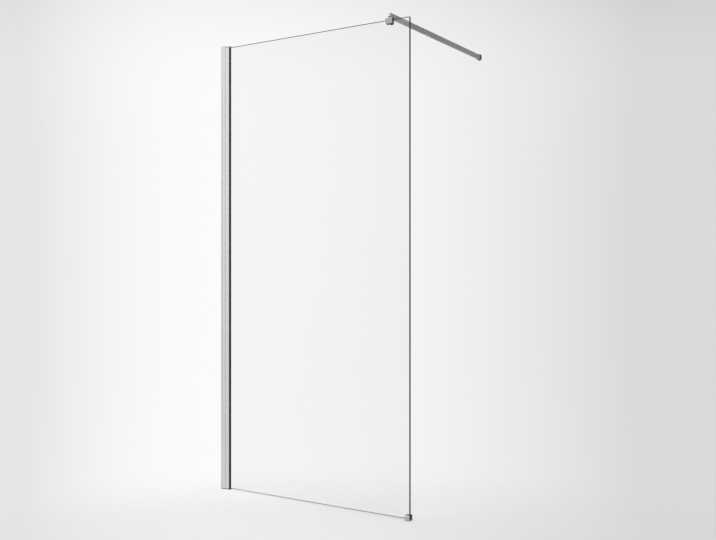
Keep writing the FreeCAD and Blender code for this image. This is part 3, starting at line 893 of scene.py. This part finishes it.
@dataclass(frozen=True)
class SnapCap(RoundPiece):
    """A hollow domed cap that snaps over a cup washer. Its rim is at height 0.

    Attributes:
        radius: its outer radius.
        height: its height.
        wall: its wall.
        shoulder: the radius of the round between its side and its dome.
        crown: how far the dome rises above that round.
        edge: the width of its chamfers.
        steps: how many steps its round has, and its dome.
    """

    zero_is_outer = False

    radius: float
    height: float
    wall: float = 0.8 * MM
    shoulder: float = 1.4 * MM
    crown: float = 0.5 * MM
    edge: float = 0.2 * MM
    steps: int = 6

    @property
    def widest(self) -> float:
        """Its outer radius."""
        return self.radius

    def mesh(self, name: str, out: Vector) -> bpy.types.Mesh:
        """Make the cap with its dome facing a direction.

        Args:
            name: the mesh's name.
            out: the direction that the dome faces.

        Returns:
            The cap, with the middle of its rim at the origin.
        """
        bore = self.radius - self.wall
        ceiling = self.height - self.crown - self.wall
        flat = self.radius - self.shoulder
        bend = arc((flat, self.height - self.crown - self.shoulder), self.shoulder, 0.0, 90.0, self.steps)
        rings = [
            Ring(ceiling, bore - self.edge),
            Ring(ceiling - self.edge, bore),
            Ring(0.0, bore),
            Ring(0.0, self.radius - self.edge),
            Ring(self.edge, self.radius),
        ]
        rings += [Ring(point.y, point.x) for point in bend]
        for step in range(1, self.steps):
            share = 1.0 - step / self.steps
            rings.append(Ring(self.height - self.crown * share**2, flat * share))
        return Turning(rings, ceiling, self.height).mesh(name, out)


# Sub-assemblies


class SubAssembly(ABC):
    """A part of the screen that moves as one body.

    Attributes:
        body: the body that its pieces ride on.
        finishes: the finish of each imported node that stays.
    """

    body: Body
    finishes: dict[str, Finish]

    @abstractmethod
    def build(self) -> list[bpy.types.Object]:
        """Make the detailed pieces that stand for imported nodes."""

    def dress(self) -> list[bpy.types.Object]:
        """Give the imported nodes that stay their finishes.

        Returns:
            Those nodes' objects.
        """
        dressed = []
        for node, finish in self.finishes.items():
            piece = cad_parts[node]
            piece.data.materials.clear()
            piece.data.materials.append(finish.material())
            dressed.append(piece)
        return dressed

    def place(self, mesh: bpy.types.Mesh, node: str, slot: Slot) -> bpy.types.Object:
        """Put a finished mesh in the scene in a node's stead.

        Args:
            mesh: the mesh, in the screen's frame.
            node: the node that it stands for.
            slot: the material slot that it would take; not used.

        Returns:
            The piece, which is named as its mesh is.
        """
        piece = add_object(mesh.name, mesh)
        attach(piece, self.body.value)
        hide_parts(node)
        return piece

    def place_row(
        self, name: str, node: str, slot: Slot, finish: Finish,
        one: RoundPiece, out: Vector, along: Axis, count: int,
    ) -> bpy.types.Object:
        """Repeat a round piece along the row of a node's solids.

        Args:
            name: the new piece's name.
            node: the node that the row stands for.
            slot: the material slot that it would take; it is handed to place, which does not use it.
            finish: its finish.
            one: the round piece.
            out: the direction that its outer end faces.
            along: the direction of the row.
            count: how many there are.

        Returns:
            The row as one piece.
        """
        low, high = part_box(node)
        first = (low + high) / 2.0
        outward = max(Axis, key=lambda axis: abs(out[axis.value])).value
        zero_is_high = (out[outward] > 0.0) == one.zero_is_outer
        first[outward] = high[outward] if zero_is_high else low[outward]
        row = along.value
        step = Vector((0.0, 0.0, 0.0))
        if count > 1:
            first[row] = low[row] + one.widest
            step[row] = (high[row] - low[row] - 2.0 * one.widest) / (count - 1)
        start = one.mesh(f"{name}_one", out)
        mesh = row_tree().make(name, start, finish, Count=count, First=first, Step=step)
        return self.place(mesh, node, slot)


@dataclass
class WallSide(SubAssembly):
    """The channel on the wall, with the screw sets that lock the glass's profile in it.

    Attributes:
        lock_count: how many screw sets there are.
        lock_screw: the screw of one set.
        snap_cap: the cap over it.
    """

    lock_count: int = 3
    lock_screw: Screw = Screw(
        radius=2.0 * MM, length=10.5 * MM, key=1.15 * MM, key_depth=1.5 * MM, pitch=0.7 * MM,
        head_radius=3.5 * MM, head_height=2.2 * MM,
    )
    snap_cap: SnapCap = SnapCap(radius=5.95 * MM, height=4.2 * MM)
    body: Body = Body.WALL_SIDE
    finishes: dict[str, Finish] = field(default_factory=lambda: {
        "wall_channel": BRIGHT_ALUMINIUM,
        "channel_cap": CAP_PLASTIC,
        "channel_base_seal": BLACK_RUBBER,
        "lock_nut_plates": STAINLESS_SCREW,
        "lock_cup_washers": CAP_PLASTIC,
    })

    def build(self) -> list[bpy.types.Object]:
        """Make the lock screws and the snap caps over them.

        Returns:
            The row of screws and the row of caps.
        """
        rear = Axis.Y.unit
        screws = self.place_row(
            "lock_screw_set", "lock_screws", Slot.SCREW, STAINLESS_SCREW,
            self.lock_screw, rear, Axis.Z, self.lock_count,
        )
        caps = self.place_row(
            "snap_cap_set", "lock_screw_caps", Slot.CAP, CAP_PLASTIC,
            self.snap_cap, rear, Axis.Z, self.lock_count,
        )
        return [screws, caps]


@dataclass
class GlassUnit(SubAssembly):
    """The glass sheet in its profile, with the two black gaskets that hold it.

    Attributes:
        arris: the width of the round along the glass's edges.
        arris_steps: how many steps that round has.
        corner: the radius of the glass's four corners.
        corner_steps: how many steps a corner has.
        lip_round: the radius of the gasket lip's two corners.
        round_steps: how many steps such a corner has.
        profile_wall: the wall of the profile, which the gasket's lip covers.
        barbs: how many barbs the gasket's stem has.
        barb_depth: how deep the notches between the barbs are.
        barb_back: where a barb's notch is deepest, as a share of the way to the next barb.
    """

    # A pane's normal points further along Y than this, forwards or back
    PANE_LIMIT = 0.999
    # The normal of the ground lower edge points further down than this
    LOWER_LIMIT = -0.5
    ROUND_PROFILE = 0.5

    arris: float = 1.5 * MM
    arris_steps: int = 3
    corner: float = 3.0 * MM
    corner_steps: int = 4
    lip_round: float = 0.5 * MM
    round_steps: int = 4
    profile_wall: float = 1.5 * MM
    barbs: int = 4
    barb_depth: float = 0.4 * MM
    barb_back: float = 0.35
    body: Body = Body.GLASS_UNIT
    finishes: dict[str, Finish] = field(default_factory=lambda: {
        "glass_profile": BRIGHT_ALUMINIUM,
        "profile_cap": CAP_PLASTIC,
        "profile_base_seal": BLACK_RUBBER,
        "edge_strip": SOFT_LINER,
        "setting_block": SOFT_LINER,
    })

    def build(self) -> list[bpy.types.Object]:
        """Make the glass sheet and the two gaskets."""
        return [self.glass_sheet(), *(self.gasket(side) for side in Side)]

    def glass_sheet(self) -> bpy.types.Object:
        """Make the sheet: a slab with rounded corners, polished edges and a ground lower edge.

        Returns:
            The sheet, with a finish for its two faces, one for its edges, which is painted shade in near
            black, and one for its lower edge.
        """
        low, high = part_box("glass_panel")
        form = bmesh.new()
        bmesh.ops.create_cube(form, size=1.0)
        size = high - low
        for vert in form.verts:
            vert.co = (low + high) / 2.0 + Vector([a * b for a, b in zip(vert.co, size)])
        form.normal_update()
        across = [edge for edge in form.edges if self.runs_across(edge)]
        self.round_off(form, across, self.corner, self.corner_steps)
        rim = [edge for edge in form.edges if self.is_rim(edge)]
        self.round_off(form, rim, self.arris, self.arris_steps)
        bmesh.ops.recalc_face_normals(form, faces=form.faces)
        finishes = (CLEAR_GLASS, PAINTED_DARK_GLASS_EDGE, GROUND_EDGE)
        for face in form.faces:
            face.material_index = finishes.index(self.face_finish(face))
            face.smooth = not self.is_pane(face)
        mesh = to_mesh(form, "clear_glass_sheet")
        for finish in finishes:
            mesh.materials.append(finish.material())
        return self.place(mesh, "glass_panel", Slot.GLASS)

    def round_off(
        self, form: bmesh.types.BMesh, edges: list[bmesh.types.BMEdge], radius: float, steps: int,
    ) -> None:
        """Round edges of a form off.

        Args:
            form: the form.
            edges: the edges.
            radius: the radius of the round.
            steps: how many steps the round has.
        """
        bmesh.ops.bevel(
            form, geom=edges, offset=radius, segments=steps, profile=self.ROUND_PROFILE, affect="EDGES",
        )

    def face_finish(self, face: bmesh.types.BMFace) -> Finish:
        """Choose the finish of one of the sheet's faces.

        Args:
            face: the face.

        Returns:
            Its finish.
        """
        if self.is_pane(face):
            return CLEAR_GLASS
        return GROUND_EDGE if face.normal.z < self.LOWER_LIMIT else PAINTED_DARK_GLASS_EDGE

    def is_pane(self, face: bmesh.types.BMFace) -> bool:
        """True for the sheet's two large faces."""
        return abs(face.normal.y) > self.PANE_LIMIT

    def runs_across(self, edge: bmesh.types.BMEdge) -> bool:
        """True for an edge from the front face to the rear one."""
        return not any(self.is_pane(face) for face in edge.link_faces)

    def is_rim(self, edge: bmesh.types.BMEdge) -> bool:
        """True for an edge between a large face and the sheet's edge."""
        panes = [self.is_pane(face) for face in edge.link_faces]
        return any(panes) and not all(panes)

    def gasket(self, side: Side) -> bpy.types.Object:
        """Draw a gasket out along the profile.

        Args:
            side: the side of the glass that it is on.

        Returns:
            The gasket.
        """
        node = f"{side.value}_gasket"
        low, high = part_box(node)
        glass_face, outward = (high.y, -1.0) if side is Side.FRONT else (low.y, 1.0)
        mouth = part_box("glass_profile")[1].x
        section = self.section(low.x - mouth, high.x - mouth, high.y - low.y)
        points = [Vector((mouth + across, glass_face + outward * away)) for across, away in section]
        outline = bpy.data.meshes.new(f"{node}_section")
        closed = [(index, (index + 1) % len(points)) for index in range(len(points))]
        outline.from_pydata([(point.x, point.y, 0.0) for point in points], closed, [])
        foot = Vector((0.0, 0.0, low.z))
        top = Vector((0.0, 0.0, high.z))
        mesh = strip_tree().make(f"{node}_strip", outline, BLACK_RUBBER, From=foot, To=top)
        return self.place(smooth(mesh), node, Slot.SEAL)

    def section(self, inner_end: float, lip: float, thick: float) -> list[tuple[float, float]]:
        """The gasket's section, as points across the profile's mouth and away from the glass.

        Args:
            inner_end: the place of the stem's end, which is less than 0.
            lip: how far the lip stands out of the profile.
            thick: the lip's thickness.

        Returns:
            The points, once round the section.
        """
        stem = thick - self.profile_wall
        tip = lip - self.lip_round
        lower, upper = (tip, self.lip_round), (tip, thick - self.lip_round)
        points = [(inner_end, 0.0)]
        points += [tuple(point) for point in arc(lower, self.lip_round, -90, 0, self.round_steps)]
        points += [tuple(point) for point in arc(upper, self.lip_round, 0, 90, self.round_steps)]
        points += [(0.0, thick), (0.0, stem)]
        barb_pitch = inner_end / self.barbs
        for index in range(self.barbs):
            start = barb_pitch * (index + self.barb_back)
            end = barb_pitch * (index + 1)
            points += [(start, stem - self.barb_depth), (end, stem)]
        return points


@dataclass
class SupportArm(SubAssembly):
    """The clamp on the glass's top edge and the bar that it holds.

    Attributes:
        jaw_screw: the screw that holds a jaw to the bar.
    """

    jaw_screw: Screw = Screw(
        radius=1.5 * MM, length=27.7 * MM, key=1.15 * MM, key_depth=1.5 * MM, pitch=0.5 * MM,
        head_radius=2.5 * MM, head_height=2.5 * MM,
    )
    body: Body = Body.SUPPORT_ARM
    finishes: dict[str, Finish] = field(default_factory=lambda: {
        "clamp_front_jaw": POLISHED_CHROME,
        "clamp_rear_jaw": POLISHED_CHROME,
        "clamp_liner": SOFT_LINER,
        "support_bar": SATIN_BAR,
        "bar_buffer": SOFT_LINER,
        "bar_end_plug": GREY_PLUG,
    })

    def build(self) -> list[bpy.types.Object]:
        """Make the two screws that hold the jaws to the bar.

        Returns:
            The two screws.
        """
        screws = []
        for side in Side:
            screws.append(self.place_row(
                f"{side.value}_jaw_cap_screw", f"{side.value}_jaw_screw", Slot.SCREW, STAINLESS_SCREW,
                self.jaw_screw, -Axis.Z.unit, Axis.X, 1,
            ))
        return screws


@dataclass
class BracketUnit(SubAssembly):
    """The sleeve that holds the bar's far end to the second wall.

    Attributes:
        lock_screw: the set screw that holds the bar in the sleeve.
    """

    lock_screw: Screw = Screw(
        radius=2.0 * MM, length=3.4 * MM, key=1.15 * MM, key_depth=1.5 * MM, pitch=0.7 * MM,
    )
    body: Body = Body.BRACKET_UNIT
    finishes: dict[str, Finish] = field(default_factory=lambda: {
        "wall_bracket": POLISHED_CHROME,
        "bracket_seal": BLACK_RUBBER,
    })

    def build(self) -> list[bpy.types.Object]:
        """Make the set screw in the sleeve's side.

        Returns:
            The screw.
        """
        screw = self.place_row(
            "bracket_set_screw", "bracket_lock_screw", Slot.SCREW, STAINLESS_SCREW,
            self.lock_screw, -Axis.X.unit, Axis.Y, 1,
        )
        return [screw]


@dataclass
class FloorGuide(SubAssembly):
    """The small foot under the glass's free corner.

    Attributes:
        lock_count: how many set screws hold the glass in it.
        lock_screw: one of those set screws.
    """

    lock_count: int = 2
    lock_screw: Screw = Screw(
        radius=2.0 * MM, length=6.0 * MM, key=1.15 * MM, key_depth=1.5 * MM, pitch=0.7 * MM,
    )
    body: Body = Body.FLOOR_GUIDE
    finishes: dict[str, Finish] = field(default_factory=lambda: {
        "foot_block": POLISHED_CHROME,
        "foot_liner": SOFT_LINER,
        "foot_pad": BLACK_RUBBER,
    })

    def build(self) -> list[bpy.types.Object]:
        """Make the set screws in the foot's rear cheek.

        Returns:
            The row of screws, as one piece.
        """
        screws = self.place_row(
            "foot_set_screw_pair", "foot_lock_screws", Slot.SCREW, STAINLESS_SCREW,
            self.lock_screw, Axis.Y.unit, Axis.X, self.lock_count,
        )
        return [screws]


# Studio


@dataclass(frozen=True)
class Falloff:
    """How the background dims towards one side.

    Attributes:
        towards: the direction of that side.
        start: how far that way it starts, as a cosine.
        rate: how fast it grows, with the square of the way past its start.
        most: the most that it takes away.
    """

    towards: Triple
    start: float
    rate: float
    most: float


@dataclass(frozen=True)
class Card:
    """A card that only reflections show.

    Attributes:
        place: its middle.
        size: its width and height.
        tone: how much of the light that falls on it the card gives back.
        soft: the width of the border where it fades out.
    """

    place: Triple
    size: tuple[float, float]
    tone: float
    soft: float = 0.3


@dataclass
class Studio:
    """A pale floor and background, a soft lamp, cards for the metal to reflect, and the camera.

    Attributes:
        floor_middle: the middle of the floor.
        floor_radius: the radius of the floor.
        floor_segments: how many straight sides the floor's rim has.
        floor: the floor's finish.
        ambient: how bright the light from all round is.
        backdrop_peak: how bright the background is at its brightest.
        backdrop_falls: how it dims to the right, to the left and upwards.
        lamp_place: where the soft lamp is.
        lamp_aim: what the soft lamp points at.
        lamp_width: the width of the soft lamp.
        lamp_power: its power in watts.
        cards: the cards, which are dark except for a pale one low on the left.
        cards_aim: what the cards face.
        eye: where the camera is.
        eye_turn: the way that it looks, in degrees to the left of +Y.
        lens: its focal length in millimetres.
        eye_shift: how far the picture is shifted up, as a share of its width.
    """

    # Half the width of a card's mesh before it is scaled
    CARD_HALF = 0.5
    # The tilt of a camera that looks straight ahead
    LEVEL = math.radians(90.0)

    floor_middle: Triple = (1.906, -1.83, 0.0)
    floor_radius: float = 3.5
    floor_segments: int = 96
    floor: Ground = Ground(
        "pale_floor_finish", colour=(0.76, 0.76, 0.76), roughness=0.8, shine=0.1, contrast=0.01, cloud=0.6,
        cover=0.5, fade=(2.0, 3.1), ragged=0.2, speckle=2 * MM,
    )
    ambient: float = 0.75
    backdrop_peak: float = 0.965
    backdrop_falls: tuple[Falloff, ...] = (
        Falloff(towards=(0.8418, 0.5398, 0.0), start=-0.16, rate=1.3, most=0.265),
        Falloff(towards=(-0.8418, -0.5398, 0.0), start=0.16, rate=5.4, most=0.175),
        Falloff(towards=(0.0, 0.0, 1.0), start=0.19, rate=8.0, most=0.09),
    )
    lamp_place: Triple = (-1.15, -1.70, 4.0)
    lamp_aim: Triple = (0.7, 0.1, 0.6)
    lamp_width: float = 1.4
    lamp_power: float = 50.0
    cards: tuple[Card, ...] = (
        Card(place=(4.55, 5.55, 1.50), size=(2.1, 7.7), tone=0.03),
        Card(place=(3.15, 5.55, 3.30), size=(0.7, 1.2), tone=0.03),
        Card(place=(-1.85, 5.55, 0.50), size=(2.4, 1.7), tone=0.04),
        Card(place=(1.30, -6.0, 1.0), size=(2.8, 5.2), tone=0.08, soft=1.0),
        Card(place=(-2.30, -2.64, -0.80), size=(5.0, 6.4), tone=0.84, soft=2.5),
    )
    cards_aim: Triple = (0.49, 0.30, 0.0)
    eye: Triple = (2.7160, -3.0931, 0.9973)
    eye_turn: float = 32.67
    lens: float = 45.0
    eye_shift: float = -0.002

    def build(self) -> None:
        """Set up the whole studio."""
        bpy.context.scene.view_settings.view_transform = "Standard"
        self.build_world()
        self.build_floor()
        self.build_lamp()
        for card in self.cards:
            self.build_card(card)
        self.build_camera()

    def build_world(self) -> None:
        """Light the screen evenly, and show a pale background that dims to the sides."""
        world = bpy.data.worlds.new("studio_world")
        bpy.context.scene.world = world
        world.use_nodes = True
        tree = world.node_tree
        light = tree.nodes["Background"]
        light.inputs["Color"].default_value = WHITE
        light.inputs["Strength"].default_value = self.ambient
        backdrop = tree.nodes.new("ShaderNodeBackground")
        backdrop.inputs["Color"].default_value = WHITE
        tree.links.new(self.backdrop_level(tree), backdrop.inputs["Strength"])
        path = tree.nodes.new("ShaderNodeLightPath").outputs
        shown = self.reckon(tree, "MAXIMUM", path["Is Camera Ray"], path["Is Glossy Ray"])
        shown = self.reckon(tree, "MAXIMUM", shown, path["Is Transmission Ray"])
        mix = tree.nodes.new("ShaderNodeMixShader")
        tree.links.new(shown, mix.inputs["Fac"])
        tree.links.new(light.outputs["Background"], mix.inputs[1])
        tree.links.new(backdrop.outputs["Background"], mix.inputs[2])
        tree.links.new(mix.outputs["Shader"], tree.nodes["World Output"].inputs["Surface"])

    @staticmethod
    def reckon(
        tree: bpy.types.NodeTree, operation: str,
        first: bpy.types.NodeSocket | float, second: bpy.types.NodeSocket | float,
    ) -> bpy.types.NodeSocket:
        """Add one step of arithmetic.

        Args:
            tree: the nodes that it joins.
            operation: what it does with the two.
            first: an output or a number.
            second: an output or a number.

        Returns:
            The result.
        """
        node = tree.nodes.new("ShaderNodeMath")
        node.operation = operation
        for socket, given in zip(node.inputs, (first, second)):
            if isinstance(given, bpy.types.NodeSocket):
                tree.links.new(given, socket)
            else:
                socket.default_value = given
        return node.outputs["Value"]

    def backdrop_level(self, tree: bpy.types.NodeTree) -> bpy.types.NodeSocket:
        """Add nodes for the background's brightness by direction.

        Args:
            tree: the world's nodes.

        Returns:
            The brightness: the peak, less what is lost towards each side.
        """
        way = tree.nodes.new("ShaderNodeTexCoord").outputs["Generated"]
        level = self.backdrop_peak
        for fall in self.backdrop_falls:
            cosine = tree.nodes.new("ShaderNodeVectorMath")
            cosine.operation = "DOT_PRODUCT"
            cosine.inputs[1].default_value = fall.towards
            tree.links.new(way, cosine.inputs[0])
            past = self.reckon(tree, "SUBTRACT", cosine.outputs["Value"], fall.start)
            past = self.reckon(tree, "MAXIMUM", past, 0.0)
            loss = self.reckon(tree, "MULTIPLY", self.reckon(tree, "POWER", past, 2.0), fall.rate)
            loss = self.reckon(tree, "MINIMUM", loss, fall.most)
            level = self.reckon(tree, "SUBTRACT", level, loss)
        return level

    def build_floor(self) -> None:
        """Lay the floor disc."""
        form = bmesh.new()
        bmesh.ops.create_circle(form, cap_ends=True, segments=self.floor_segments, radius=self.floor_radius)
        mesh = to_mesh(form, "studio_floor")
        mesh.materials.append(self.floor.material())
        floor = add_object("studio_floor", mesh)
        floor.location = self.floor_middle

    def build_lamp(self) -> None:
        """Hang the soft lamp up to the left and in front."""
        lamp = bpy.data.lights.new("soft_lamp", "AREA")
        lamp.size = self.lamp_width
        lamp.energy = self.lamp_power
        holder = add_object("soft_lamp", lamp)
        holder.location = self.lamp_place
        aim = Vector(self.lamp_aim) - Vector(self.lamp_place)
        holder.rotation_euler = aim.to_track_quat("-Z", "Y").to_euler()

    def build_card(self, card: Card) -> None:
        """Stand up a card, turned to the screen.

        Args:
            card: the card.
        """
        form = bmesh.new()
        bmesh.ops.create_grid(form, x_segments=1, y_segments=1, size=self.CARD_HALF)
        mesh = to_mesh(form, "studio_card")
        shader = Shader("studio_card_finish")
        shader.fix(Base_Color=[*even(card.tone), 1.0], Roughness=1.0, Specular_IOR_Level=0.0)
        clear = shader.add("ShaderNodeBsdfTransparent")
        shader.choose(self.card_shown(shader, card), clear.outputs["BSDF"], shader.surface.outputs["BSDF"])
        mesh.materials.append(shader.material)
        board = add_object("studio_card", mesh)
        board.location = card.place
        board.scale = (*card.size, 1.0)
        facing = Vector(self.cards_aim) - Vector(card.place)
        facing.z = 0.0
        board.rotation_euler = facing.to_track_quat("Z", "Y").to_euler()
        board.visible_camera = False
        board.visible_diffuse = False
        board.visible_shadow = False

    def card_shown(self, shader: Shader, card: Card) -> bpy.types.NodeSocket:
        """Add nodes for how much of a card shows.

        Args:
            shader: the card's nodes.
            card: the card.

        Returns:
            The share: none of it except in a reflection, and there less towards its border.
        """
        bounces = shader.add("ShaderNodeLightPath").outputs["Glossy Depth"]
        shown = self.reckon(shader.tree, "MINIMUM", bounces, 1.0)
        away = shader.add("ShaderNodeVectorMath")
        away.operation = "ABSOLUTE"
        sides = shader.add("ShaderNodeSeparateXYZ")
        shader.join(shader.places(), away.inputs[0])
        shader.join(away.outputs["Vector"], sides.inputs["Vector"])
        for label, length in zip("XY", card.size):
            full = self.CARD_HALF - card.soft / length
            border = shader.add("ShaderNodeMapRange", From_Min=self.CARD_HALF, From_Max=full)
            border.interpolation_type = "SMOOTHSTEP"
            shader.join(sides.outputs[label], border.inputs["Value"])
            shown = self.reckon(shader.tree, "MULTIPLY", shown, border.outputs["Result"])
        return shown

    def build_camera(self) -> None:
        """Set up the camera at eye level, in front and to the right."""
        camera = bpy.data.cameras.new("camera")
        camera.sensor_fit = "HORIZONTAL"
        camera.lens = self.lens
        camera.shift_y = self.eye_shift
        holder = add_object("camera", camera)
        holder.location = self.eye
        holder.rotation_euler = (self.LEVEL, 0.0, math.radians(self.eye_turn))
        bpy.context.scene.camera = holder


def main() -> None:
    """Build and dress each sub-assembly, then set up the studio."""
    logging.basicConfig(level=logging.INFO, format="%(name)s: %(message)s")
    for unit in (WallSide(), GlassUnit(), SupportArm(), BracketUnit(), FloorGuide()):
        for piece in unit.build():
            LOG.info("%s: made %s, %d faces", unit.body.value, piece.name, len(piece.data.polygons))
        for piece in unit.dress():
            LOG.info("%s: dressed %s", unit.body.value, piece.name)
    Studio().build()


if __name__ == "__main__":
    main()
